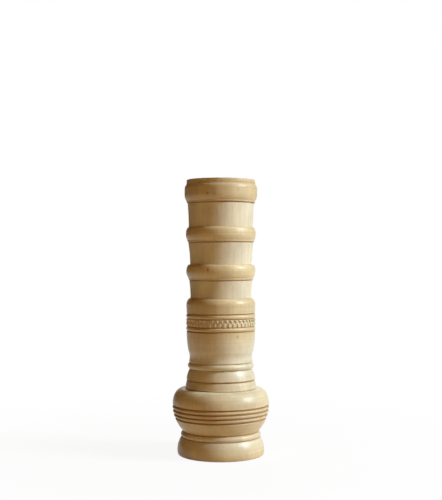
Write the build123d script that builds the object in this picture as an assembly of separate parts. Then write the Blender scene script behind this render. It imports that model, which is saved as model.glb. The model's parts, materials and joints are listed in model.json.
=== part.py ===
from build123d import *
import math
import os

# Turned bamboo flower vase. Bored sections are stacked from the floor up, and each one has a
# spigot under it that is glued into a socket in the section below. Thin rings slip over the
# longer spigots. The axis is Z, the origin is the middle of the foot on the floor, sizes in mm.

# Bore and glued joint, the same in every section
bore_radius = 32.0
spigot_wall = 4.0
spigot_length = 7.0
glue_gap = 0.12
glue_pocket = 0.3

# Burnt V groove along a seam, half of it on each piece
seam_depth = 0.9
seam_half_width = 0.8

# Heights of the stacked pieces
foot_height = 22.3
foot_bead_height = 7.2
bulb_height = 54.5
shoulder_ring_height = 10.8
flared_collar_height = 14.1
waist_bead_height = 8.5
waist_sleeve_height = 40.0
lower_fillet_height = 5.9
carved_band_height = 9.9
upper_fillet_height = 6.2
band_shoulder_height = 19.6
lower_culm_height = 23.0
lower_node_height = 20.0
middle_culm_height = 28.3
upper_node_height = 19.0
upper_culm_height = 31.0
rim_collar_height = 29.7

# Walls outside the spigot's seat, which give each piece its outer radius
foot_bottom_wall = 17.7
foot_bulge_wall = 19.6
foot_top_wall = 14.6
foot_bead_edge_wall = 12.8
foot_bead_crown_wall = 14.7
bulb_base_wall = 12.1
bulb_equator_wall = 25.6
bulb_crest_wall = 13.2
shoulder_ring_bottom_wall = 9.0
shoulder_ring_middle_wall = 8.3
shoulder_ring_top_wall = 7.2
flared_collar_bottom_wall = 7.6
flared_collar_middle_wall = 6.05
flared_collar_top_wall = 3.5
waist_bead_edge_wall = 3.3
waist_bead_crown_wall = 5.9
waist_sleeve_bottom_wall = 4.3
waist_sleeve_waist_wall = 3.55
waist_sleeve_break_wall = 5.1
waist_sleeve_top_wall = 7.4
fillet_edge_wall = 7.1
fillet_crown_wall = 8.0
carved_ground_wall = 6.9
band_shoulder_bottom_wall = 7.5
band_shoulder_side_wall = 7.75
band_shoulder_top_wall = 3.8
lower_culm_bottom_wall = 2.9
lower_culm_middle_wall = 3.2
lower_culm_top_wall = 4.4
lower_node_bottom_wall = 4.4
lower_node_crown_wall = 7.9
lower_node_top_wall = 3.8
middle_culm_bottom_wall = 3.4
middle_culm_middle_wall = 4.05
middle_culm_top_wall = 5.7
upper_node_bottom_wall = 6.0
upper_node_crown_wall = 8.45
upper_node_top_wall = 5.2
upper_culm_bottom_wall = 5.2
upper_culm_middle_wall = 5.55
upper_culm_top_wall = 6.5
rim_bottom_wall = 7.3
rim_crown_wall = 10.2
rim_lip_wall = 7.65

# Where a curved side changes, measured up from the bottom of its piece
foot_bulge_height = 5.5
bulb_equator_height = 34.4
waist_sleeve_waist_height = 5.0
waist_sleeve_break_height = 14.1
band_shoulder_side_height = 11.1
lower_node_crown_height = 11.0
upper_node_crown_height = 9.9
rim_crown_height = 10.7
rim_land_height = 6.5

# Lip and mouth of the rim collar
lip_height = 5.0
lip_edge_radius = 1.2
mouth_edge_radius = 4.5

# Four burnt grooves round the bulb, counted down from the equator
bulb_groove_count = 4
bulb_groove_drop = 1.0
bulb_groove_pitch = 5.3
bulb_groove_depth = 1.3
bulb_groove_half_width = 1.1

# Carved teeth: an upper row hangs down, a lower row stands up half a pitch further round
tooth_count = 45
tooth_relief = 0.95
tooth_root = 0.6
upper_tooth_width = 4.3
upper_tooth_height = 4.0
lower_tooth_width = 3.0
lower_tooth_height = 5.2
tooth_margin = 0.45

# Underside of the foot and the plug that closes the bore
foot_recess_depth = 2.0
foot_recess_wall = 8.0
plug_ledge_height = 7.0
plug_ledge_width = 7.0
plug_flange_thickness = 6.0

# Radii and depths of the glued joint
seat_radius = bore_radius + spigot_wall
socket_radius = seat_radius + glue_gap
socket_depth = spigot_length + glue_pocket

# Heights at which the pieces start
foot_bead_base = foot_height
bulb_base = foot_bead_base + foot_bead_height
shoulder_ring_base = bulb_base + bulb_height
flared_collar_base = shoulder_ring_base + shoulder_ring_height
waist_bead_base = flared_collar_base + flared_collar_height
waist_sleeve_base = waist_bead_base + waist_bead_height
lower_fillet_base = waist_sleeve_base + waist_sleeve_height
carved_band_base = lower_fillet_base + lower_fillet_height
upper_fillet_base = carved_band_base + carved_band_height
band_shoulder_base = upper_fillet_base + upper_fillet_height
lower_culm_base = band_shoulder_base + band_shoulder_height
lower_node_base = lower_culm_base + lower_culm_height
middle_culm_base = lower_node_base + lower_node_height
upper_node_base = middle_culm_base + middle_culm_height
upper_culm_base = upper_node_base + upper_node_height
rim_collar_base = upper_culm_base + upper_culm_height
vase_height = rim_collar_base + rim_collar_height

UP = (0, 1)
DOWN = (0, -1)
QUARTER_TURN = 90


def radius(wall):
    """Outer radius of a piece that is this thick outside the spigot's seat."""
    return seat_radius + wall


def turned(outline):
    """Solid turned about Z from a closed outline of radius and height."""
    return revolve(Plane.XZ * make_face(outline), Axis.Z)


def quarter_ellipse(center, width, height, start_angle):
    """Quarter of an ellipse, a quarter turn on from its start angle."""
    return EllipticalCenterArc(center, width, height, start_angle, arc_size=QUARTER_TURN)


def side_ends(side):
    """Lowest and highest corner of a piece's outer side."""
    corners = [edge @ end for edge in side for end in (0, 1)]
    return min(corners, key=lambda corner: corner.Y), max(corners, key=lambda corner: corner.Y)


def section(side, spigot_drop):
    """Bored section with a socket in its top and a spigot that drops below its bottom."""
    bottom, top = side_ends(side)
    socket_floor = top.Y - socket_depth
    spigot_end = bottom.Y - spigot_drop
    inside = Polyline(
        (top.X, top.Y),
        (socket_radius, top.Y),
        (socket_radius, socket_floor),
        (bore_radius, socket_floor),
        (bore_radius, spigot_end),
        (seat_radius, spigot_end),
        (seat_radius, bottom.Y),
        (bottom.X, bottom.Y),
    )
    return turned([*side, inside])


def slip_ring(side):
    """Thin ring that slips over a spigot."""
    bottom, top = side_ends(side)
    inside = Polyline(
        (top.X, top.Y),
        (socket_radius, top.Y),
        (socket_radius, bottom.Y),
        (bottom.X, bottom.Y),
    )
    return turned([*side, inside])


def bead_side(base, height, edge, crown):
    """Half-round side of a thin ring."""
    return [ThreePointArc((edge, base), (crown, base + height / 2), (edge, base + height))]


def bowed_side(base, height, bottom, middle, top):
    """Side bowed a little between its ends, with the seam's groove at its top."""
    groove_foot = base + height - seam_half_width
    return [
        ThreePointArc((bottom, base), (middle, base + height / 2), (top, groove_foot)),
        Line((top, groove_foot), (top - seam_depth, base + height)),
    ]


def node_side(base, height, crown_height, bottom, crown, top):
    """Side of a rounded ring, full above its crown, with the seam's groove at its bottom."""
    groove_head = (bottom, base + seam_half_width)
    crown_level = base + crown_height
    return [
        Line((bottom - seam_depth, base), groove_head),
        TangentArc((crown, crown_level), groove_head, tangent=DOWN),
        quarter_ellipse((top, crown_level), crown - top, height - crown_height, 0),
    ]


def make_foot():
    """Spreading foot with a socket above, a ledge for the plug and a recess underneath."""
    bottom = radius(foot_bottom_wall)
    bulge = radius(foot_bulge_wall)
    top = radius(foot_top_wall)
    recess = radius(foot_recess_wall)
    hole = seat_radius - plug_ledge_width
    side = [
        quarter_ellipse((bottom, foot_bulge_height), bulge - bottom, foot_bulge_height, -QUARTER_TURN),
        TangentArc((bulge, foot_bulge_height), (top, foot_height), tangent=UP),
    ]
    inside = Polyline(
        (top, foot_height),
        (socket_radius, foot_height),
        (socket_radius, plug_ledge_height),
        (hole, plug_ledge_height),
        (hole, foot_recess_depth),
        (recess, foot_recess_depth),
        (recess, 0),
        (bottom, 0),
    )
    return turned([*side, inside])


def make_floor_plug():
    """Stepped disc that rests on the foot's ledge and closes the bore."""
    shank = seat_radius - plug_ledge_width - glue_gap
    top = plug_ledge_height + plug_flange_thickness
    outline = Polyline(
        (0, foot_recess_depth),
        (shank, foot_recess_depth),
        (shank, plug_ledge_height),
        (seat_radius, plug_ledge_height),
        (seat_radius, top),
        (0, top),
        (0, foot_recess_depth),
    )
    return turned([outline])


def make_foot_bead():
    edge = radius(foot_bead_edge_wall)
    crown = radius(foot_bead_crown_wall)
    return slip_ring(bead_side(foot_bead_base, foot_bead_height, edge, crown))


def make_bulb():
    """Wide body: a round belly below the equator, a full shoulder above, and four grooves."""
    base = radius(bulb_base_wall)
    equator = radius(bulb_equator_wall)
    crest = radius(bulb_crest_wall)
    equator_level = bulb_base + bulb_equator_height
    shoulder_rise = bulb_height - bulb_equator_height
    side = [
        TangentArc((equator, equator_level), (base, bulb_base), tangent=DOWN),
        quarter_ellipse((crest, equator_level), equator - crest, shoulder_rise, 0),
    ]
    plug_top = plug_ledge_height + plug_flange_thickness
    body = section(side, bulb_base - plug_top - glue_pocket)
    belly_draw = equator - base
    belly_radius = (belly_draw**2 + bulb_equator_height**2) / (2 * belly_draw)
    for index in range(bulb_groove_count):
        drop = bulb_groove_drop + index * bulb_groove_pitch
        surface = equator - belly_radius + math.sqrt(belly_radius**2 - drop**2)
        level = equator_level - drop
        body -= turned([groove_cutter(surface, level)])
    return body


def groove_cutter(surface, level):
    """Triangle that cuts one V groove into the bulb."""
    flare = bulb_groove_depth / bulb_groove_half_width
    reach = 2 * bulb_groove_half_width
    return Polyline(
        (surface - bulb_groove_depth, level),
        (surface - bulb_groove_depth + flare * reach, level + reach),
        (surface - bulb_groove_depth + flare * reach, level - reach),
        (surface - bulb_groove_depth, level),
    )


def make_shoulder_ring():
    bottom = radius(shoulder_ring_bottom_wall)
    middle = radius(shoulder_ring_middle_wall)
    top = radius(shoulder_ring_top_wall)
    return slip_ring(bowed_side(shoulder_ring_base, shoulder_ring_height, bottom, middle, top))


def make_flared_collar():
    """Collar that spreads downwards, with a spigot through the shoulder ring into the bulb."""
    bottom = radius(flared_collar_bottom_wall)
    middle = radius(flared_collar_middle_wall)
    top = radius(flared_collar_top_wall)
    base = flared_collar_base
    groove_head = base + seam_half_width
    side = [
        Line((bottom - seam_depth, base), (bottom, groove_head)),
        ThreePointArc(
            (bottom, groove_head),
            (middle, base + flared_collar_height / 2),
            (top, base + flared_collar_height),
        ),
    ]
    return section(side, shoulder_ring_height + spigot_length)


def make_waist_bead():
    edge = radius(waist_bead_edge_wall)
    crown = radius(waist_bead_crown_wall)
    return slip_ring(bead_side(waist_bead_base, waist_bead_height, edge, crown))


def make_waist_sleeve():
    """Plain sleeve: hollow at the waist, full towards the band, with a groove at its top."""
    base = waist_sleeve_base
    top_level = base + waist_sleeve_height
    groove_foot = top_level - seam_half_width
    bottom = radius(waist_sleeve_bottom_wall)
    waist = radius(waist_sleeve_waist_wall)
    turn = (radius(waist_sleeve_break_wall), base + waist_sleeve_break_height)
    top = radius(waist_sleeve_top_wall)
    side = [
        ThreePointArc((bottom, base), (waist, base + waist_sleeve_waist_height), turn),
        TangentArc((top, groove_foot), turn, tangent=DOWN),
        Line((top, groove_foot), (top - seam_depth, top_level)),
    ]
    return section(side, waist_bead_height + spigot_length)


def make_fillet_ring(base, height):
    edge = radius(fillet_edge_wall)
    crown = radius(fillet_crown_wall)
    return slip_ring(bead_side(base, height, edge, crown))


def upper_tooth_outline(top):
    """Triangle that hangs point down from the band's upper edge."""
    half = upper_tooth_width / 2
    return [Polyline((-half, top), (half, top), (0, top - upper_tooth_height), (-half, top))]


def lower_tooth_outline(bottom):
    """Upright tooth with a round head."""
    half = lower_tooth_width / 2
    neck = bottom + lower_tooth_height - half
    return [
        Polyline((-half, neck), (-half, bottom), (half, bottom), (half, neck)),
        ThreePointArc((half, neck), (0, bottom + lower_tooth_height), (-half, neck)),
    ]


def make_carved_band():
    """Ring with two staggered rows of raised teeth, which leave a zigzag between them."""
    ground = radius(carved_ground_wall)
    base = carved_band_base
    top = base + carved_band_height
    ring = slip_ring([Line((ground, base), (ground, top))])
    root_plane = Plane(origin=(ground - tooth_root, 0, 0), x_dir=(0, 1, 0), z_dir=(1, 0, 0))
    reach = tooth_root + tooth_relief
    upper = extrude(root_plane * make_face(upper_tooth_outline(top - tooth_margin)), reach)
    lower = extrude(root_plane * make_face(lower_tooth_outline(base + tooth_margin)), reach)
    pitch = 360 / tooth_count
    teeth = []
    for index in range(tooth_count):
        teeth.append(Rot(0, 0, index * pitch) * upper)
        teeth.append(Rot(0, 0, (index + 0.5) * pitch) * lower)
    return ring.fuse(*teeth)


def make_band_shoulder():
    """Plain collar whose long spigot carries the carved band and its two fillet rings."""
    base = band_shoulder_base
    bottom = radius(band_shoulder_bottom_wall)
    side_radius = radius(band_shoulder_side_wall)
    top = radius(band_shoulder_top_wall)
    groove_head = (bottom, base + seam_half_width)
    side_head = (side_radius, base + band_shoulder_side_height)
    side = [
        Line((bottom - seam_depth, base), groove_head),
        Line(groove_head, side_head),
        TangentArc(side_head, (top, base + band_shoulder_height), tangent=UP),
    ]
    band_stack = upper_fillet_height + carved_band_height + lower_fillet_height
    return section(side, band_stack + spigot_length)


def make_lower_culm():
    bottom = radius(lower_culm_bottom_wall)
    middle = radius(lower_culm_middle_wall)
    top = radius(lower_culm_top_wall)
    side = bowed_side(lower_culm_base, lower_culm_height, bottom, middle, top)
    return section(side, spigot_length)


def make_middle_culm():
    bottom = radius(middle_culm_bottom_wall)
    middle = radius(middle_culm_middle_wall)
    top = radius(middle_culm_top_wall)
    side = bowed_side(middle_culm_base, middle_culm_height, bottom, middle, top)
    return section(side, spigot_length)


def make_upper_culm():
    bottom = radius(upper_culm_bottom_wall)
    middle = radius(upper_culm_middle_wall)
    top = radius(upper_culm_top_wall)
    side = bowed_side(upper_culm_base, upper_culm_height, bottom, middle, top)
    return section(side, spigot_length)


def make_lower_node_ring():
    bottom = radius(lower_node_bottom_wall)
    crown = radius(lower_node_crown_wall)
    top = radius(lower_node_top_wall)
    side = node_side(lower_node_base, lower_node_height, lower_node_crown_height, bottom, crown, top)
    return section(side, spigot_length)


def make_upper_node_ring():
    bottom = radius(upper_node_bottom_wall)
    crown = radius(upper_node_crown_wall)
    top = radius(upper_node_top_wall)
    side = node_side(upper_node_base, upper_node_height, upper_node_crown_height, bottom, crown, top)
    return section(side, spigot_length)


def make_rim_collar():
    """Bulged collar with a narrower lip, round the mouth of the bore."""
    lip = radius(rim_lip_wall)
    bottom = radius(rim_bottom_wall)
    crown = radius(rim_crown_wall)
    groove_head = (bottom, rim_collar_base + seam_half_width)
    crown_level = rim_collar_base + rim_crown_height
    land_level = crown_level + rim_land_height
    lip_foot = vase_height - lip_height
    side = [
        Line((bottom - seam_depth, rim_collar_base), groove_head),
        TangentArc((crown, crown_level), groove_head, tangent=DOWN),
        Line((crown, crown_level), (crown, land_level)),
        quarter_ellipse((lip, land_level), crown - lip, lip_foot - land_level, 0),
    ]
    edge_level = vase_height - lip_edge_radius
    mouth_level = vase_height - mouth_edge_radius
    mouth = bore_radius + mouth_edge_radius
    spigot_end = rim_collar_base - spigot_length
    rest = [
        Line((lip, lip_foot), (lip, edge_level)),
        TangentArc((lip, edge_level), (lip - lip_edge_radius, vase_height), tangent=UP),
        Line((lip - lip_edge_radius, vase_height), (mouth, vase_height)),
        TangentArc((bore_radius, mouth_level), (mouth, vase_height), tangent=UP),
        Polyline(
            (bore_radius, mouth_level),
            (bore_radius, spigot_end),
            (seat_radius, spigot_end),
            (seat_radius, rim_collar_base),
            (bottom - seam_depth, rim_collar_base),
        ),
    ]
    return turned([*side, *rest])


pieces = {
    "foot": make_foot(),
    "floor_plug": make_floor_plug(),
    "foot_bead": make_foot_bead(),
    "bulb": make_bulb(),
    "shoulder_ring": make_shoulder_ring(),
    "flared_collar": make_flared_collar(),
    "waist_bead": make_waist_bead(),
    "waist_sleeve": make_waist_sleeve(),
    "lower_fillet_ring": make_fillet_ring(lower_fillet_base, lower_fillet_height),
    "carved_band": make_carved_band(),
    "upper_fillet_ring": make_fillet_ring(upper_fillet_base, upper_fillet_height),
    "band_shoulder": make_band_shoulder(),
    "lower_culm": make_lower_culm(),
    "lower_node_ring": make_lower_node_ring(),
    "middle_culm": make_middle_culm(),
    "upper_node_ring": make_upper_node_ring(),
    "upper_culm": make_upper_culm(),
    "rim_collar": make_rim_collar(),
}

os.makedirs("parts", exist_ok=True)
for name, piece in pieces.items():
    export_step(piece, f"parts/{name}.step")
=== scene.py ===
"""Turned bamboo vase: its pieces modelled round their solids, on a plain studio floor."""

import json
import math

import bmesh
import bpy
from bpy.props import FloatProperty, FloatVectorProperty, IntProperty, PointerProperty
from mathutils import Matrix, Vector, noise


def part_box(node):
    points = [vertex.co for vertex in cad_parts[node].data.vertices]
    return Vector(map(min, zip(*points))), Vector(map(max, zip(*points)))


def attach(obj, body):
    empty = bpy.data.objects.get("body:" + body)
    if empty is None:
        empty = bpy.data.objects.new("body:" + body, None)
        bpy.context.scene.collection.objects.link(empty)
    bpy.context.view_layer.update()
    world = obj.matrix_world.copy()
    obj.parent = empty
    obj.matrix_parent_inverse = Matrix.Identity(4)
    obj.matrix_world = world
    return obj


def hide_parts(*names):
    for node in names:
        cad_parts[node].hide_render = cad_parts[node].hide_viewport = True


bl_info = {
    "name": "Turned Bamboo Vase",
    "version": (1, 0, 0),
    "blender": (4, 5, 0),
    "location": "View3D > Sidebar > Vase",
    "description": "Models a turned bamboo vase round its solids and sets it on a studio floor",
    "category": "Add Mesh",
}

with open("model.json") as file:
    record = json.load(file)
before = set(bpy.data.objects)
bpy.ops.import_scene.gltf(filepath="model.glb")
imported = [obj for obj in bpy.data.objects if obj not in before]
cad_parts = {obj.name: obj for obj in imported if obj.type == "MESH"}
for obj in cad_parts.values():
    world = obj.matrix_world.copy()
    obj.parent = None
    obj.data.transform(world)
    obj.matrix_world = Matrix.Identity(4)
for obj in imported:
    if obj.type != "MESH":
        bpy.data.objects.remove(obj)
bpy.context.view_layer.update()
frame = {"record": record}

MM = 0.001
BODY = "root"

# Pieces from the floor up, and the sections among them that plug into one another
STACK = (
    "foot", "foot_bead", "bulb", "shoulder_ring", "flared_collar", "waist_bead", "waist_sleeve",
    "lower_fillet_ring", "carved_band", "upper_fillet_ring", "band_shoulder", "lower_culm",
    "lower_node_ring", "middle_culm", "upper_node_ring", "upper_culm", "rim_collar",
)
SECTIONS = (
    "foot", "bulb", "flared_collar", "waist_sleeve", "band_shoulder", "lower_culm",
    "lower_node_ring", "middle_culm", "upper_node_ring", "upper_culm", "rim_collar",
)

# Names of the two values painted along a piece's outline
BURN = "burn"
PALE = "pale"

# Places of the few dark specks in the bamboo
KNOTS = (
    (-16.6 * MM, -43.6 * MM, 330.6 * MM),
    (-16.0 * MM, -40.5 * MM, 235.2 * MM),
    (20.0 * MM, -37.5 * MM, 152.1 * MM),
)

# Clearances of the glued joints
GLUE_GAP = 0.12 * MM
GLUE_POCKET = 0.3 * MM

# Corners this near are one, corners this sharp stay crisp, and faces turned this far in are bare
WELD = 0.002 * MM
SHARP_ANGLE = math.radians(38)
INWARD = -0.3

# The lathe's axis and turns
ORIGIN = (0.0, 0.0, 0.0)
LATHE_AXIS = (0.0, 0.0, 1.0)
OUTLINE_AXIS = (0.0, -1.0, 0.0)
FULL_TURN = 2 * math.pi
QUARTER_TURN = math.pi / 2

# Span that holds most values of a noise, and the white of the background
NOISE_SPAN = (0.3, 0.7)
WHITE = (1.0, 1.0, 1.0, 1.0)


def top_of(node):
    """Height of a piece's upper end."""
    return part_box(node)[1].z


def base_of(node):
    """Height at which a piece starts, which is the top of the one below."""
    place = STACK.index(node)
    return top_of(STACK[place - 1]) if place else 0.0


def reach_of(node):
    """Widest radius of a piece."""
    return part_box(node)[1].x


def spigot_end(node):
    """Height of the lower end of a section's spigot."""
    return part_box(node)[0].z


def socket_floor(node):
    """Height of the bottom of a section's socket, just under the spigot that stands in it."""
    above = SECTIONS[SECTIONS.index(node) + 1]
    return spigot_end(above) - GLUE_POCKET


def bore_radius():
    """Radius of the bore, as the record gives it."""
    mounts = {mount["name"]: mount for mount in frame["record"]["mounts"]}
    return mounts["flower_bore"]["dims"]["r_mm"] * MM


SEAT = reach_of("floor_plug")
SOCKET = SEAT + GLUE_GAP
BORE = bore_radius()
HEIGHT = top_of("rim_collar")


def length(name, description, default):
    """Property for a size in metres."""
    return FloatProperty(
        name=name, description=description, default=default, min=0.0, unit="LENGTH", precision=5
    )


def colour(name, description, default):
    """Property for a linear colour."""
    return FloatVectorProperty(
        name=name, description=description, default=default, size=3, min=0.0, max=1.0, subtype="COLOR"
    )


def share(name, description, default):
    """Property for a share from nothing to all."""
    return FloatProperty(
        name=name, description=description, default=default, min=0.0, max=1.0, subtype="FACTOR"
    )


def turn(name, description, degrees):
    """Property for an angle, given in degrees."""
    return FloatProperty(
        name=name, description=description, default=math.radians(degrees), subtype="ANGLE"
    )


def level(name, description, default):
    """Property for a brightness."""
    return FloatProperty(name=name, description=description, default=default, min=0.0)


def pixels(name, description, default):
    """Property for a distance in the picture."""
    return FloatProperty(name=name, description=description, default=default, subtype="PIXEL")


def count(name, description, default, least):
    """Property for a number of like things."""
    return IntProperty(name=name, description=description, default=default, min=least)


def span(name, description, default):
    """Property for a first and a last value."""
    return FloatVectorProperty(name=name, description=description, default=default, size=2)


def waves(name, description, default):
    """Property for the waves of a grain in a metre, along X, Y and Z."""
    return FloatVectorProperty(
        name=name, description=description, default=default, size=3, subtype="XYZ"
    )


class VaseLathe(bpy.types.PropertyGroup):
    """How finely the pieces are turned, and the groove burnt along their seams."""

    segments: count("Segments", "Faces round each piece", 192, 24)
    arc_steps: count("Arc steps", "Edges along a round stretch", 12, 3)
    groove_depth: length("Groove depth", "How far a seam's groove is cut in", 0.9 * MM)
    groove_lip: length("Groove lip", "Height of the half of a groove that one piece holds", 1.1 * MM)
    seam_fillet: length("Seam fillet", "Narrow upright band above a seam", 1.5 * MM)
    seam_fade: length("Seam fade", "Height in which a seam's brown fades on that band", 0.5 * MM)
    scorch: length("Scorch", "How far the brown of a burnt corner spreads", 1.6 * MM)
    waver: length("Waver", "How far the hand-held chisel strays", 0.07 * MM)
    waver_span: length("Waver span", "Distance over which it strays", 22.0 * MM)
    coat: length("Coat", "Thickness of the lacquer on the rings and collars", 0.4 * MM)


class VaseNeck(bpy.types.PropertyGroup):
    """Sizes of the rim collar, the culm sections and the rings between them."""

    rim_bottom: length("Rim bottom", "Radius of the rim collar at its seam", 43.6 * MM)
    rim_crown_height: length("Rim crown height", "Height at which its side stands upright", 10.7 * MM)
    rim_land: length("Rim land", "Height of that upright stretch", 6.5 * MM)
    lip_radius: length("Lip radius", "Radius of the lip", 43.65 * MM)
    lip_height: length("Lip height", "Height of the lip", 4.7 * MM)
    lip_edge: length("Lip edge", "Rounding of the lip's outer edge", 1.2 * MM)
    lip_fade: length("Lip fade", "Height in which the brown of its crease fades", 0.9 * MM)
    step_height: length("Step height", "Height of the narrow step under the lip", 2.0 * MM)
    step_width: length("Step width", "How far that step stands out of the lip", 0.25 * MM)
    quirk: length("Quirk", "Width of the crease between the step and the lip", 0.3 * MM)
    mouth_edge: length("Mouth edge", "Rounding of the mouth", 4.5 * MM)
    upper_ring_bottom: length("Upper ring bottom", "Radius at its seam", 42.5 * MM)
    upper_ring_crown_height: length("Upper ring crown height", "Height of its widest place", 9.9 * MM)
    upper_ring_top: length("Upper ring top", "Radius at its upper end", 41.2 * MM)
    lower_ring_bottom: length("Lower ring bottom", "Radius at its seam", 41.1 * MM)
    lower_ring_crown_height: length("Lower ring crown height", "Height of its widest place", 11.0 * MM)
    lower_ring_top: length("Lower ring top", "Radius at its upper end", 39.8 * MM)
    upper_culm_bottom: length("Upper culm bottom", "Radius at its lower end", 41.2 * MM)
    upper_culm_middle: length("Upper culm middle", "Radius halfway up", 41.55 * MM)
    middle_culm_bottom: length("Middle culm bottom", "Radius at its lower end", 39.4 * MM)
    middle_culm_middle: length("Middle culm middle", "Radius halfway up", 40.05 * MM)
    lower_culm_bottom: length("Lower culm bottom", "Radius at its lower end", 38.9 * MM)
    lower_culm_middle: length("Lower culm middle", "Radius halfway up", 39.2 * MM)
    culm_crease: length("Culm crease", "Slope at a culm's lower edge", 0.25 * MM)
    fibre_relief: length("Fibre relief", "How far the upright fibres stand out of a culm", 0.06 * MM)
    fibre_width: length("Fibre width", "Width of one bundle of fibres", 1.6 * MM)


class VaseBand(bpy.types.PropertyGroup):
    """Sizes of the carved band, its fillet rings and the collar above it."""

    ground: length("Ground", "Radius of the band's ground, behind the teeth", 42.5 * MM)
    ground_fade: length("Ground fade", "Height in which the brown of its edges fades", 1.35 * MM)
    tooth_count: count("Teeth", "Teeth in each row", 45, 6)
    tooth_relief: length("Tooth relief", "How far the teeth stand out of the ground", 1.0 * MM)
    tooth_root: length("Tooth root", "How far they are let into it", 0.6 * MM)
    tooth_round: length("Tooth rounding", "Rounding of their edges", 0.5 * MM)
    tooth_round_steps: count("Tooth rounding steps", "Faces across a rounded edge", 2, 1)
    tooth_crown: length("Tooth crown", "How far the middle of a tooth swells", 0.6 * MM)
    tooth_margin: length("Tooth margin", "Bare ground above and below the teeth", 0.45 * MM)
    upper_tooth_width: length("Upper tooth width", "Width of a hanging tooth", 4.6 * MM)
    upper_tooth_height: length("Upper tooth height", "Height of a hanging tooth", 4.0 * MM)
    lower_tooth_width: length("Lower tooth width", "Width of an upright tooth", 3.0 * MM)
    lower_tooth_height: length("Lower tooth height", "Height of an upright tooth", 5.2 * MM)
    lower_head_steps: count("Lower head steps", "Edges round the head of an upright tooth", 6, 2)
    fillet_edge: length("Fillet edge", "Radius of a fillet ring at its edges", 42.3 * MM)
    fillet_lip: length("Fillet lip", "Height of the burnt edge of a fillet ring", 0.9 * MM)
    shoulder_bottom: length("Shoulder bottom", "Radius of the collar at its seam", 43.5 * MM)
    shoulder_side_height: length("Shoulder side height", "Height of its straight side", 11.1 * MM)
    shoulder_top: length("Shoulder top", "Radius of the collar at its upper end", 39.8 * MM)


class VaseBody(bpy.types.PropertyGroup):
    """Sizes of the sleeve, the beads, the collars, the bulb, the foot and the plug."""

    sleeve_bottom: length("Sleeve bottom", "Radius of the sleeve at its lower end", 40.3 * MM)
    sleeve_edge: length("Sleeve edge", "Rounding of its lower edge", 1.2 * MM)
    sleeve_hollow: length("Sleeve hollow", "How far its waist is hollowed", 1.15 * MM)
    sleeve_turn: length("Sleeve turn", "Radius where the waist turns outwards", 41.1 * MM)
    sleeve_turn_height: length("Sleeve turn height", "Height of that place", 14.1 * MM)
    waist_bead_edge: length("Waist bead edge", "Radius of the waist bead at its edges", 37.8 * MM)
    collar_bottom: length("Collar bottom", "Radius of the flared collar at its seam", 43.6 * MM)
    collar_lip: length("Collar lip", "Height of the half of the seam that it holds", 1.65 * MM)
    collar_middle: length("Collar middle", "Radius halfway up", 42.05 * MM)
    collar_top: length("Collar top", "Radius at its upper end", 39.5 * MM)
    ring_crease: length("Shoulder ring crease", "Slope at the shoulder ring's lower edge", 0.8 * MM)
    ring_middle: length("Shoulder ring middle", "Radius of the shoulder ring halfway up", 44.3 * MM)
    ring_top: length("Shoulder ring top", "Radius at its upper end", 43.2 * MM)
    seam_depth: length("Seam depth", "How far the collar's seam is cut in", 1.2 * MM)
    bulb_base: length("Bulb base", "Radius of the bulb at its lower end", 48.1 * MM)
    bulb_heel: length("Bulb heel", "Height of the burnt edge at its lower end", 0.8 * MM)
    bulb_equator_height: length("Bulb equator height", "Height of its widest place", 34.4 * MM)
    bulb_crest: length("Bulb crest", "Radius of its level top", 49.2 * MM)
    groove_count: count("Grooves", "Burnt grooves round the bulb", 4, 0)
    groove_drop: length("Groove drop", "How far the first groove is below the equator", 1.0 * MM)
    groove_pitch: length("Groove pitch", "Distance from groove to groove", 5.3 * MM)
    groove_depth: length("Bulb groove depth", "How far the grooves are cut in", 1.6 * MM)
    groove_half_width: length("Groove half width", "Half of a groove's width", 1.6 * MM)
    ridge_bow: length("Ridge bow", "How far the ridges between grooves are rounded", 0.3 * MM)
    foot_bead_edge: length("Foot bead edge", "Radius of the foot bead at its edges", 46.0 * MM)
    foot_bottom: length("Foot bottom", "Radius of the flat that the foot stands on", 53.7 * MM)
    foot_bulge_height: length("Foot bulge height", "Height of its widest place", 5.5 * MM)
    foot_top: length("Foot top", "Radius at its upper end", 50.6 * MM)
    recess_radius: length("Recess radius", "Radius of the recess underneath", 44.0 * MM)
    ledge_height: length("Ledge height", "Height of the ledge that the plug rests on", 7.0 * MM)
    ledge_width: length("Ledge width", "Width of that ledge", 7.0 * MM)
    plug_edge: length("Plug edge", "Slope at the plug's lower edge", 0.4 * MM)


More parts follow.
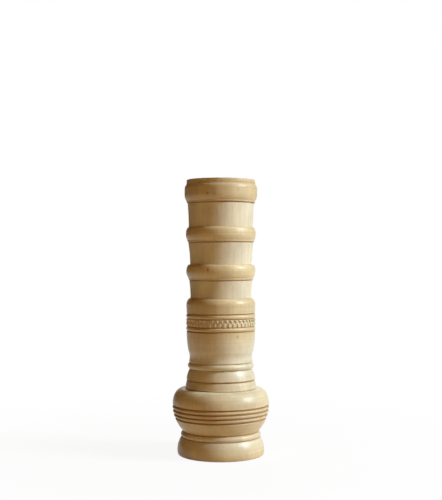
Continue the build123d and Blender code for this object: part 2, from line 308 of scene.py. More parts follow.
class VaseShade(bpy.types.PropertyGroup):
    """How burnt and how pale the bamboo is, from place to place, with painted shade in some creases and
    painted light on the bulb's top.
    """

    seam_burn: share("Seam burn", "Bottom of the deepest seams", 1.0)
    lip_burn: share("Lip burn", "Edge of a seam or a groove", 0.3)
    # Burnt brown at the bottom of the grooves, made darker still as painted shade in the groove
    groove_burn_and_shade: share("Groove burn", "Bottom of the bulb's grooves and of the sleeve's seam", 0.95)
    # Faint brown at a ring's or collar's upper end: painted shade of the crease where the part above meets
    # it, with a little burn
    crown_burn_and_shade: share("Crown burn", "Upper end of a ring or a collar", 0.1)
    rim_seam_burn: share("Rim seam burn", "Seam under the rim collar", 0.9)
    rim_stain: share("Rim stain", "Brown all over the rim collar", 0.22)
    rim_crease_burn: share("Rim crease burn", "Crease under the lip", 0.25)
    rim_lip_burn: share("Rim lip burn", "Lower edge of the lip", 0.1)
    node_seam_burn: share("Node seam burn", "Seam under a rounded ring of the neck", 0.8)
    # Faint brown at a culm's lower edge: painted shade of the crease on the ring below, with a little burn
    culm_foot_burn_and_shade: share("Culm foot burn", "Lower edge of a culm", 0.15)
    culm_lip_burn: share("Culm lip burn", "Halfway into the seam above a culm", 0.25)
    culm_seam_burn: share("Culm seam burn", "Bottom of the seam above a culm", 0.75)
    culm_pale: share("Culm pale", "Culm sections", 1.0)
    band_pale: share("Band pale", "Carved band", 0.5)
    band_ground_burn: share("Band ground burn", "Ground behind the teeth", 0.2)
    band_lower_burn: share("Band lower burn", "Ground at the foot of the upright teeth", 0.5)
    band_upper_burn: share("Band upper burn", "Ground at the head of the hanging teeth", 0.3)
    band_top_burn: share("Band top burn", "Upper edge of the ground", 0.7)
    # Partly a burnt edge, partly painted shade under the sleeve's curled lower edge
    sleeve_foot_burn_and_shade: share("Sleeve foot burn", "Lower edge of the sleeve", 0.4)
    sleeve_stain: share("Sleeve stain", "Brown all over the sleeve", 0.06)
    sleeve_waist_pale: share("Sleeve waist pale", "Waist of the sleeve", 1.0)
    # Partly burnt edges, partly painted shade in the creases beside the beads
    bead_burn_and_shade: share("Bead burn", "Edges of the beads", 0.4)
    waist_bead_pale: share("Waist bead pale", "Bead at the waist", 0.8)
    foot_bead_pale: share("Foot bead pale", "Bead above the foot", 0.3)
    collar_lip_burn: share("Collar lip burn", "Lower edge of the flared collar", 0.15)
    collar_pale: share("Collar pale", "Flared collar", 0.8)
    # Burnt seam under the shoulder ring, darkened further as painted shadow of the ring on the bulb's top
    ring_foot_burn_and_shade: share("Shoulder ring foot burn", "Seam under the shoulder ring", 0.7)
    ring_crease_burn: share("Shoulder ring crease burn", "Lower edge of the shoulder ring", 0.1)
    ring_lip_burn: share("Shoulder ring lip burn", "Upper edge of the shoulder ring", 0.15)
    ring_pale: share("Shoulder ring pale", "Shoulder ring", 0.5)
    # Partly a burnt edge, partly painted shade in the crease that the bulb overhangs above the foot bead
    bulb_heel_burn_and_shade: share("Bulb heel burn", "Above the bulb's lower edge", 0.7)
    # Painted shadow of the shoulder ring on the bulb's crest, with a little burn
    bulb_crest_burn_and_shade: share("Bulb crest burn", "Upper edge of the bulb", 0.15)
    bulb_belly_pale: share("Bulb belly pale", "Bulb below its equator", 0.2)
    # Paler top of the bulb: partly its own tone, partly painted light where the lamps fall on its level top
    bulb_crest_pale_painted_light: share("Bulb crest pale", "Top of the bulb", 0.8)
    foot_sole_burn: share("Foot sole burn", "Lower edge of the foot", 0.5)
    foot_bulge_burn: share("Foot bulge burn", "Widest place of the foot", 0.15)
    foot_top_burn: share("Foot top burn", "Upper edge of the foot", 0.25)
    foot_top_pale: share("Foot top pale", "Upper part of the foot", 0.9)


class VaseFinish(bpy.types.PropertyGroup):
    """Colours, grain and gloss of the bamboo."""

    tan: colour("Tan", "Lacquered bamboo", (0.73, 0.59, 0.355))
    pale: colour("Pale", "Scraped pale bamboo", (0.78, 0.70, 0.53))
    burnt: colour("Burnt", "Bottom of a burnt groove", (0.43, 0.235, 0.08))
    knot_size: length("Knot size", "Radius of the few dark specks in the bamboo", 2.8 * MM)
    fibre_waves: waves("Fibre waves", "Finest upright fibres", (1100.0, 1100.0, 50.0))
    bundle_waves: waves("Bundle waves", "Bundles of fibres", (300.0, 300.0, 14.0))
    mottle_waves: waves("Mottle waves", "Broad cloudy patches", (34.0, 34.0, 24.0))
    turning_waves: waves("Turning waves", "Marks of the chisel, round the vase", (14.0, 14.0, 620.0))
    fleck_waves: waves("Fleck waves", "Small dark flecks", (620.0, 620.0, 420.0))
    mottle_tones: span("Mottle tones", "Darkest and lightest of the patches", (0.92, 1.05))
    fleck_span: span("Fleck span", "Part of the noise that turns to flecks", (0.6, 0.74))
    fleck_tones: span("Fleck tones", "Tone beside a fleck and in it", (1.0, 0.84))
    fray: share("Fray", "How far the fibres fray the edge of a burn", 0.24)
    burn_dullness: share("Burn dullness", "How much rougher a burnt place is", 0.25)
    dull_span: span("Dull span", "Part of the bundles' noise that changes the gloss", (0.2, 0.8))
    dull_spread: share("Dull spread", "How far the roughness strays either way", 0.05)
    turning_relief: share("Turning relief", "Depth of the chisel marks beside the fibres'", 0.4)
    grain_bump: share("Grain bump", "Strength of the grain's relief", 0.2)
    grain_depth: length("Grain depth", "Depth of the grain", 0.1 * MM)
    lacquer_roughness: share("Lacquer roughness", "Roughness of the turned rings", 0.39)
    lacquer_gloss: share("Lacquer gloss", "Specular level of the turned rings", 0.42)
    lacquer_streaks: share("Lacquer streaks", "How far their fibres darken and lighten", 0.04)
    lacquer_marks: share("Lacquer marks", "How far their chisel marks do", 0.045)
    culm_roughness: share("Culm roughness", "Roughness of the pale sections", 0.55)
    culm_gloss: share("Culm gloss", "Specular level of the pale sections", 0.15)
    culm_streaks: share("Culm streaks", "How far their fibres darken and lighten", 0.045)
    raw: colour("Raw", "Bamboo inside the bore", (0.60, 0.45, 0.26))
    raw_shade: share("Raw shade", "Tone of its darker fibres", 0.7)
    raw_waves: waves("Raw waves", "Its fibres", (520.0, 520.0, 20.0))
    raw_roughness: share("Raw roughness", "Its roughness", 0.7)
    raw_gloss: share("Raw gloss", "Its specular level", 0.2)
    raw_bump: share("Raw bump", "Strength of its relief", 0.3)
    raw_depth: length("Raw depth", "Depth of its relief", 0.15 * MM)


class VaseStudio(bpy.types.PropertyGroup):
    """Camera, lamps and floor."""

    focal_pixels: pixels("Focal length", "In pixels of the picture", 950.0)
    picture_height: pixels("Picture height", "Long side of the picture in pixels", 500.0)
    distance: length("Distance", "From the camera to the axis of the vase", 1.2184)
    eye_height: length("Eye height", "Height of the camera", 0.2501)
    eye_side: length("Eye side", "How far the camera stands to the right", 0.0002)
    eye_row: pixels("Eye row", "Pixels from the middle down to eye level", 8.0)
    panel: length("Panel", "Width and height of each lamp", 0.8)
    lamp_distance: length("Lamp distance", "From each lamp to the middle of the vase", 3.2)
    key_bearing: turn("Key bearing", "How far to the right of the camera the key lamp stands", 76.0)
    key_rise: turn("Key rise", "How high the key lamp stands", 30.0)
    key_level: level("Key level", "Brightness that the key lamp gives a white card", 1.12)
    key_colour: colour("Key colour", "Colour of the key lamp", (0.72, 0.86, 1.0))
    high_bearing: turn("High bearing", "How far to the right of the camera the high lamp stands", 76.0)
    high_rise: turn("High rise", "How high the high lamp stands", 60.0)
    high_level: level("High level", "Brightness that the high lamp gives a white card", 0.24)
    high_colour: colour("High colour", "Colour of the high lamp", (1.0, 0.98, 0.58))
    front_bearing: turn("Front bearing", "How far to the right of the camera the front lamp stands", 0.0)
    front_rise: turn("Front rise", "How high the front lamp stands", 50.0)
    front_level: level("Front level", "Brightness that the front lamp gives a white card", 0.14)
    front_colour: colour("Front colour", "Colour of the front lamp", (1.0, 0.42, 0.06))
    back_bearing: turn("Back bearing", "How far to the right of the camera the back lamp stands", 180.0)
    back_rise: turn("Back rise", "How high the back lamp stands", 35.0)
    back_level: level("Back level", "Brightness that the back lamp gives a white card", 0.18)
    back_colour: colour("Back colour", "Colour of the back lamp", (1.0, 0.95, 0.85))
    room: colour("Room", "Faint warm light from all round", (0.012, 0.005, 0.001))
    backdrop_edge: turn("Backdrop edge", "Angle from straight behind at which the backdrop ends", 30.0)
    backdrop_full: turn("Backdrop full", "Angle within which it is white", 10.0)
    floor: colour("Floor", "Colour of the floor", (0.86, 0.86, 0.85))
    floor_roughness: share("Floor roughness", "Roughness of the floor", 0.9)
    floor_radius: length("Floor radius", "Radius of the round floor", 6.0)
    floor_sides: count("Floor sides", "Edges round the floor", 96, 12)
    floor_gap: length("Floor gap", "How far the floor is below the foot", 0.2 * MM)
    floor_bounce: colour("Floor bounce", "Colour of the light that the floor sends up", (0.68, 0.47, 0.24))
    floor_veil: share("Floor veil", "How far the floor is whitened for the eye", 0.92)
    veil_start: length("Veil start", "Distance from the axis at which the floor starts to fade", 0.1)
    veil_end: length("Veil end", "Distance at which it is white", 0.6)


class Outline:
    """Cross-section of a turned piece, drawn from corner to corner in the XZ plane."""

    def __init__(self, radius, height, burn=0.0, pale=0.0, stain=0.0):
        self.lathe = bpy.context.scene.vase_lathe
        self.mesh = bmesh.new()
        self.burn_layer = self.mesh.verts.layers.float.new(BURN)
        self.pale_layer = self.mesh.verts.layers.float.new(PALE)
        self.pale = pale
        self.stain = stain
        self.start = self.mesh.verts.new((radius, 0.0, height))
        self.tip = self.start
        self.paint(burn)

    def paint(self, burn):
        """Notes how burnt and how pale the last corner is."""
        self.tip[self.burn_layer] = max(burn, self.stain)
        self.tip[self.pale_layer] = self.pale

    def line(self, radius, height, burn=0.0):
        """Straight stretch to a corner."""
        made = bmesh.ops.extrude_vert_indiv(self.mesh, verts=[self.tip])
        self.tip = made["verts"][0]
        self.tip.co = Vector((radius, 0.0, height))
        self.paint(burn)

    def sweep(self, centre, angle, stretch=(1.0, 1.0, 1.0), burn=0.0):
        """Swings the last corner round a centre, stretches the arc, and lets burns fade along it."""
        start = self.tip
        known = set(self.mesh.verts)
        steps = self.lathe.arc_steps
        made = bmesh.ops.spin(
            self.mesh, geom=[start], cent=centre, axis=OUTLINE_AXIS, angle=angle, steps=steps
        )
        corners = [vert for vert in self.mesh.verts if vert not in known]
        bmesh.ops.scale(self.mesh, vec=stretch, space=Matrix.Translation(-centre), verts=corners)
        self.tip = made["geom_last"][0]
        self.paint(burn)
        pale_change = self.pale - start[self.pale_layer]
        for step, vert in enumerate(corners[:-1], start=1):
            vert[self.pale_layer] = start[self.pale_layer] + pale_change * step / steps
            vert[self.burn_layer] = max(self.faded(start, vert), self.faded(self.tip, vert))

    def faded(self, corner, vert):
        """Burn that is left of a corner's at some distance from it."""
        distance = (vert.co - corner.co).length
        return max(self.stain, corner[self.burn_layer] * (1.0 - distance / self.lathe.scorch))

    def arc(self, radius, height, bow, burn=0.0):
        """Round stretch to a corner, standing out from the straight way by bow."""
        start = self.tip.co.copy()
        end = Vector((radius, 0.0, height))
        chord = end - start
        half = chord.length / 2
        outward = Vector((chord.z, 0.0, -chord.x)).normalized()
        swing = (half**2 + bow**2) / (2 * bow)
        centre = (start + end) / 2 - outward * (swing - bow)
        self.sweep(centre, 4 * math.atan(bow / half), burn=burn)

    def upright_arc(self, radius, height, burn=0.0):
        """Round stretch that is upright at its wider end."""
        start = self.tip.co
        draw = abs(radius - start.x)
        reach = math.hypot(draw, height - start.z)
        swing = reach**2 / (2 * draw)
        self.arc(radius, height, swing * (1 - abs(height - start.z) / reach), burn)

    def shoulder(self, radius, height, burn=0.0):
        """Quarter of an ellipse that starts upright and ends level."""
        start = self.tip.co.copy()
        centre = Vector((radius, 0.0, start.z))
        stretch = (height - start.z) / (start.x - radius)
        self.sweep(centre, QUARTER_TURN, (1.0, 1.0, stretch), burn)

    def toe(self, radius, height, burn=0.0):
        """Quarter of an ellipse that starts level and ends upright."""
        start = self.tip.co.copy()
        centre = Vector((start.x, 0.0, height))
        stretch = (radius - start.x) / (height - start.z)
        self.sweep(centre, QUARTER_TURN, (stretch, 1.0, 1.0), burn)

    def turned(self, closed=True):
        """Turns the outline about the axis and gives the mesh."""
        if closed:
            self.mesh.edges.new((self.tip, self.start))
        bmesh.ops.spin(
            self.mesh,
            geom=self.mesh.verts[:] + self.mesh.edges[:],
            cent=ORIGIN,
            axis=LATHE_AXIS,
            angle=FULL_TURN,
            steps=self.lathe.segments,
            use_merge=True,
        )
        bmesh.ops.remove_doubles(self.mesh, verts=self.mesh.verts, dist=WELD)
        bmesh.ops.recalc_face_normals(self.mesh, faces=self.mesh.faces)
        return self.mesh


def spigot(outline, node):
    """Draws the bore down to the end of a section's spigot, and the spigot's outer side."""
    end = spigot_end(node)
    outline.line(BORE, end)
    outline.line(SEAT, end)
    outline.line(SEAT, base_of(node))


def joint_inside(outline, node):
    """Draws a section's socket, bore and spigot, from its top round to its bottom."""
    floor = socket_floor(node)
    outline.line(SOCKET, top_of(node))
    outline.line(SOCKET, floor)
    outline.line(BORE, floor)
    spigot(outline, node)


def ring_inside(outline, node):
    """Draws the inside of a thin ring that slips over a spigot."""
    outline.line(SOCKET, top_of(node))
    outline.line(SOCKET, base_of(node))


def seam_head(outline, radius, base):
    """Draws the upper half of a burnt groove and the narrow fillet above it."""
    lathe = bpy.context.scene.vase_lathe
    lip = base + lathe.groove_lip
    outline.line(radius, lip, burn=bpy.context.scene.vase_shade.lip_burn)
    outline.line(radius, lip + lathe.seam_fade)
    outline.line(radius, lip + lathe.seam_fillet)


def ring_side(outline, base, top, crown, crown_height, bottom, upper, land=0.0):
    """Draws a rounded ring's side, from its seam to its upper end."""
    seam_head(outline, bottom, base)
    outline.upright_arc(crown, base + crown_height)
    if land:
        outline.line(crown, base + crown_height + land)
    # The ring's upper end is painted faintly brown as shade of the crease above it
    outline.shoulder(upper, top, burn=bpy.context.scene.vase_shade.crown_burn_and_shade)


def waver(mesh, coat=0.0):
    """Lets the outer side stray from a perfect round, as turned by hand, under a coat of lacquer."""
    lathe = bpy.context.scene.vase_lathe
    for vert in mesh.verts:
        radial = Vector((vert.co.x, vert.co.y, 0.0))
        if radial.length > SOCKET + lathe.groove_depth:
            stray = noise.noise(vert.co / lathe.waver_span)
            vert.co += radial.normalized() * (stray * lathe.waver + coat)


def sharpen(mesh):
    """Keeps the corners crisp and everything else smooth."""
    for face in mesh.faces:
        face.smooth = True
    for edge in mesh.edges:
        edge.smooth = edge.calc_face_angle(0.0) < SHARP_ANGLE


def bare_inside(mesh):
    """Gives the faces that look inwards, or lie inside the joints, the second finish."""
    for face in mesh.faces:
        middle = face.calc_center_median()
        radial = Vector((middle.x, middle.y, 0.0))
        inward = face.normal.dot(radial.normalized()) < INWARD
        if inward or radial.length < SEAT:
            face.material_index = 1


def add_piece(mesh, name, node, finish):
    """Makes an object of a mesh, and lets it stand for a node."""
    sharpen(mesh)
    bare_inside(mesh)
    data = bpy.data.meshes.new(name)
    mesh.to_mesh(data)
    mesh.free()
    data.materials.append(finish)
    data.materials.append(raw_bamboo())
    piece = bpy.data.objects.new(name, data)
    bpy.context.scene.collection.objects.link(piece)
    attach(piece, BODY)
    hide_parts(node)


def add_turned(outline, node, coat=0.0):
    """Turns a lacquered piece from its outline and adds it."""
    mesh = outline.turned()
    waver(mesh, coat)
    add_piece(mesh, "turned_" + node, node, lacquered_bamboo())


class Recipe:
    """Node tree of a finish or of the room, with short ways to add nodes and join them."""

    def __init__(self, owner):
        owner.use_nodes = True
        self.tree = owner.node_tree

    def node(self, kind, values=None, **settings):
        """Adds a node with its settings, and with values or joined outputs at its inputs."""
        made = self.tree.nodes.new(kind)
        for setting, value in settings.items():
            setattr(made, setting, value)
        self.fill(made, values or {})
        return made

    def fill(self, node, values):
        """Feeds a node's inputs."""
        for place, value in values.items():
            self.feed(node.inputs[place], value)

    def feed(self, socket, value):
        """Sets a socket, or joins an output to it."""
        if isinstance(value, bpy.types.NodeSocket):
            self.tree.links.new(value, socket)
        else:
            socket.default_value = value

    def shade(self, values):
        """Feeds the shader that a new finish starts with, and gives it."""
        shader = self.tree.nodes["Principled BSDF"]
        self.fill(shader, values)
        return shader

    def painted(self, name):
        """Value painted along the outline."""
        return self.node("ShaderNodeAttribute", attribute_name=name).outputs["Fac"]

    def place(self):
        """Place on the object."""
        return self.node("ShaderNodeTexCoord").outputs["Object"]

    def grain(self, scale, detail=3.0, roughness=0.55):
        """Noise on object coordinates, with its own waves along each axis."""
        stretched = self.node("ShaderNodeMapping", {"Vector": self.place(), "Scale": scale})
        values = {
            "Vector": stretched.outputs["Vector"], "Scale": 1.0, "Detail": detail, "Roughness": roughness
        }
        return self.node("ShaderNodeTexNoise", values).outputs["Fac"]

    def spot(self, middle, radius):
        """Soft round spot at a place."""
        away = self.node("ShaderNodeVectorMath", {0: self.place(), 1: middle}, operation="DISTANCE")
        return self.between(away.outputs["Value"], 0.0, radius, 1.0, 0.0)

    def between(self, value, low, high, first=0.0, last=1.0):
        """Maps a value from one span to another."""
        values = {"Value": value, "From Min": low, "From Max": high, "To Min": first, "To Max": last}
        return self.node("ShaderNodeMapRange", values, interpolation_type="SMOOTHSTEP").outputs["Result"]

    def mix(self, factor, first, second):
        """Mixes two colours."""
        made = self.node("ShaderNodeMix", data_type="RGBA")
        colour_inputs = [socket for socket in made.inputs if socket.type == "RGBA"]
        self.feed(made.inputs["Factor"], factor)
        self.feed(colour_inputs[0], first)
        self.feed(colour_inputs[1], second)
        return next(socket for socket in made.outputs if socket.type == "RGBA")

    def mixed_shader(self, factor, first, second):
        """Mixes two shaders."""
        return self.node("ShaderNodeMixShader", {0: factor, 1: first.outputs[0], 2: second.outputs[0]})

    def math(self, operation, *values):
        """Joins values by an operation."""
        return self.node("ShaderNodeMath", dict(enumerate(values)), operation=operation).outputs["Value"]

    def toned(self, wood, grain, limits, tones):
        """Darkens and lightens a colour by a grain."""
        factor = self.between(grain, *limits, *tones)
        scaled = self.node("ShaderNodeVectorMath", {"Vector": wood, "Scale": factor}, operation="SCALE")
        return scaled.outputs["Vector"]

    def bump(self, height, strength, depth):
        """Relief that bends the light."""
        values = {"Strength": strength, "Distance": depth, "Height": height}
        return self.node("ShaderNodeBump", values).outputs["Normal"]

    def seen(self, backdrop=1.0):
        """One for the eye, and as far as the backdrop reaches for reflections and glass."""
        path = self.node("ShaderNodeLightPath").outputs
        mirrored = self.math("MAXIMUM", path["Is Glossy Ray"], path["Is Transmission Ray"])
        mirrored = self.math("MULTIPLY", mirrored, backdrop)
        return self.math("MAXIMUM", path["Is Camera Ray"], mirrored)

    def show(self, shader, output):
        """Joins a shader to the tree's output."""
        self.feed(self.tree.nodes[output].inputs["Surface"], shader.outputs["Shader"])


def opaque(value):
    """Colour with full alpha."""
    return (*value, 1.0)


def bamboo(name, roughness, gloss, streaks, marks=0.0):
    """Finish of the outer side: fibres, mottling, turning marks, and burnt grooves and creases, darkened in
    places by painted shade.
    """
    ready = bpy.data.materials.get(name)
    if ready:
        return ready
    finish = bpy.context.scene.vase_finish
    material = bpy.data.materials.new(name)
    recipe = Recipe(material)
    fibres = recipe.grain(finish.fibre_waves)
    bundles = recipe.grain(finish.bundle_waves)
    mottle = recipe.grain(finish.mottle_waves)
    turning = recipe.grain(finish.turning_waves, detail=2.0)
    flecks = recipe.grain(finish.fleck_waves, detail=2.0)
    wood = recipe.mix(recipe.painted(PALE), opaque(finish.tan), opaque(finish.pale))
    for grain, strength in ((fibres, streaks), (bundles, streaks), (turning, marks)):
        wood = recipe.toned(wood, grain, NOISE_SPAN, (1.0 - strength, 1.0 + strength))
    wood = recipe.toned(wood, mottle, NOISE_SPAN, finish.mottle_tones)
    wood = recipe.toned(wood, flecks, finish.fleck_span, finish.fleck_tones)
    # The painted burn darkens seams, grooves and creases: partly burning, partly painted shade
    centred = recipe.math("ADD", recipe.painted(BURN), -finish.fray / 2)
    char_and_shade = recipe.between(recipe.math("MULTIPLY_ADD", fibres, finish.fray, centred), 0.0, 1.0)
    wood = recipe.mix(char_and_shade, wood, opaque(finish.burnt))
    for knot in KNOTS:
        wood = recipe.mix(recipe.spot(knot, finish.knot_size), wood, opaque(finish.burnt))
    roughest = roughness + finish.dull_spread
    smoothest = roughness - finish.dull_spread
    dull = recipe.between(bundles, *finish.dull_span, roughest, smoothest)
    relief = recipe.math("MULTIPLY_ADD", turning, finish.turning_relief, fibres)
    recipe.shade(
        {
            "Base Color": wood,
            "Roughness": recipe.math("MULTIPLY_ADD", char_and_shade, finish.burn_dullness, dull),
            "Specular IOR Level": gloss,
            "Normal": recipe.bump(relief, finish.grain_bump, finish.grain_depth),
        }
    )
    return material


def lacquered_bamboo():
    """Semi-gloss finish of the turned rings, the bulb and the foot."""
    finish = bpy.context.scene.vase_finish
    gloss = (finish.lacquer_roughness, finish.lacquer_gloss)
    return bamboo("lacquered bamboo", *gloss, finish.lacquer_streaks, finish.lacquer_marks)


def culm_bamboo():
    """Matte finish of the pale culm sections."""
    finish = bpy.context.scene.vase_finish
    return bamboo("culm bamboo", finish.culm_roughness, finish.culm_gloss, finish.culm_streaks)


def raw_bamboo():
    """Unlacquered bamboo inside the bore and under the foot."""
    name = "raw bamboo"
    ready = bpy.data.materials.get(name)
    if ready:
        return ready
    finish = bpy.context.scene.vase_finish
    material = bpy.data.materials.new(name)
    recipe = Recipe(material)
    fibres = recipe.grain(finish.raw_waves, detail=4.0)
    dark = tuple(part * finish.raw_shade for part in finish.raw)
    recipe.shade(
        {
            "Base Color": recipe.mix(recipe.between(fibres, *NOISE_SPAN), opaque(dark), opaque(finish.raw)),
            "Roughness": finish.raw_roughness,
            "Specular IOR Level": finish.raw_gloss,
            "Normal": recipe.bump(fibres, finish.raw_bump, finish.raw_depth),
        }
    )
    return material


class VASE_OT_rim_collar(bpy.types.Operator):
    """Model the bulged collar and its lip round the mouth"""

    bl_idname = "vase.rim_collar"
    bl_label = "Rim Collar"

    def execute(self, context):
        node = "rim_collar"
        lathe = context.scene.vase_lathe
        shade = context.scene.vase_shade
        neck = context.scene.vase_neck
        base = base_of(node)
        outline = Outline(
            neck.rim_bottom - lathe.groove_depth, base, burn=shade.rim_seam_burn, stain=shade.rim_stain
        )
        lip_foot = HEIGHT - neck.lip_height
        step_foot = lip_foot - neck.step_height
        step = neck.lip_radius + neck.step_width
        side = (reach_of(node), neck.rim_crown_height, neck.rim_bottom, step, neck.rim_land)
        ring_side(outline, base, step_foot, *side)
        outline.line(step, step_foot + neck.quirk)
        outline.line(step, lip_foot - neck.quirk)
        outline.line(neck.lip_radius - neck.quirk, lip_foot, burn=shade.rim_crease_burn)
        outline.line(neck.lip_radius, lip_foot + neck.quirk, burn=shade.rim_lip_burn)
        outline.line(neck.lip_radius, lip_foot + neck.lip_fade)
        outline.line(neck.lip_radius, HEIGHT - neck.lip_edge)
        outline.shoulder(neck.lip_radius - neck.lip_edge, HEIGHT)
        outline.line(BORE + neck.mouth_edge, HEIGHT)
        quarter_bow = neck.mouth_edge * (1 - math.cos(QUARTER_TURN / 2))
        outline.arc(BORE, HEIGHT - neck.mouth_edge, quarter_bow)
        spigot(outline, node)
        add_turned(outline, node, lathe.coat)
        return {"FINISHED"}


class VASE_OT_node_rings(bpy.types.Operator):
    """Model the two rounded rings between the culm sections"""

    bl_idname = "vase.node_rings"
    bl_label = "Node Rings"

    def execute(self, context):
        lathe = context.scene.vase_lathe
        shade = context.scene.vase_shade
        neck = context.scene.vase_neck
        for place in ("upper", "lower"):
            node = place + "_node_ring"
            bottom = getattr(neck, place + "_ring_bottom")
            crown_height = getattr(neck, place + "_ring_crown_height")
            upper = getattr(neck, place + "_ring_top")
            base = base_of(node)
            outline = Outline(bottom - lathe.groove_depth, base, burn=shade.node_seam_burn)
            ring_side(outline, base, top_of(node), reach_of(node), crown_height, bottom, upper)
            joint_inside(outline, node)
            add_turned(outline, node, lathe.coat)
        return {"FINISHED"}


class VASE_OT_culm_sections(bpy.types.Operator):
    """Model the three pale culm sections of the neck"""

    bl_idname = "vase.culm_sections"
    bl_label = "Culm Sections"

    def execute(self, context):
        neck = context.scene.vase_neck
        for node in ("upper_culm", "middle_culm", "lower_culm"):
            mesh = self.section(context.scene, node).turned()
            self.raise_fibres(mesh, neck)
            waver(mesh)
            add_piece(mesh, "scraped_" + node, node, culm_bamboo())
        return {"FINISHED"}

    def section(self, scene, node):
        """Draws a culm, bowed a little between its ends, with half of a seam at its top."""
        lathe = scene.vase_lathe
        shade = scene.vase_shade
        neck = scene.vase_neck
        base = base_of(node)
        top = top_of(node)
        bottom = getattr(neck, node + "_bottom")
        upper = reach_of(node)
        bow = getattr(neck, node + "_middle") - (bottom + upper) / 2
        outline = Outline(
            # The culm's lower edge is painted faintly brown as shade of the crease on the ring below
            bottom - neck.culm_crease, base, burn=shade.culm_foot_burn_and_shade, pale=shade.culm_pale
        )
        outline.line(bottom, base + neck.culm_crease)
        outline.arc(upper, top - lathe.groove_lip, bow)
        halfway = (upper - lathe.groove_depth / 2, top - lathe.groove_lip / 2)
        outline.line(*halfway, burn=shade.culm_lip_burn)
        outline.line(upper - lathe.groove_depth, top, burn=shade.culm_seam_burn)
        joint_inside(outline, node)
        return outline

    def raise_fibres(self, mesh, neck):
        """Lets upright bundles of fibres stand out of the scraped side."""
        for vert in mesh.verts:
            radial = Vector((vert.co.x, vert.co.y, 0.0))
            if radial.length > SOCKET + GLUE_GAP:
                bundle = noise.noise(radial / neck.fibre_width)
                vert.co += radial.normalized() * bundle * neck.fibre_relief


class VASE_OT_band_shoulder(bpy.types.Operator):
    """Model the plain collar above the carved band"""

    bl_idname = "vase.band_shoulder"
    bl_label = "Band Shoulder"

    def execute(self, context):
        node = "band_shoulder"
        lathe = context.scene.vase_lathe
        shade = context.scene.vase_shade
        band = context.scene.vase_band
        base = base_of(node)
        outline = Outline(band.shoulder_bottom - lathe.groove_depth, base, burn=shade.seam_burn)
        seam_head(outline, band.shoulder_bottom, base)
        outline.line(reach_of(node), base + band.shoulder_side_height)
        # The collar's upper end is painted faintly brown as shade of the crease above it
        outline.upright_arc(band.shoulder_top, top_of(node), burn=shade.crown_burn_and_shade)
        joint_inside(outline, node)
        add_turned(outline, node, lathe.coat)
        return {"FINISHED"}


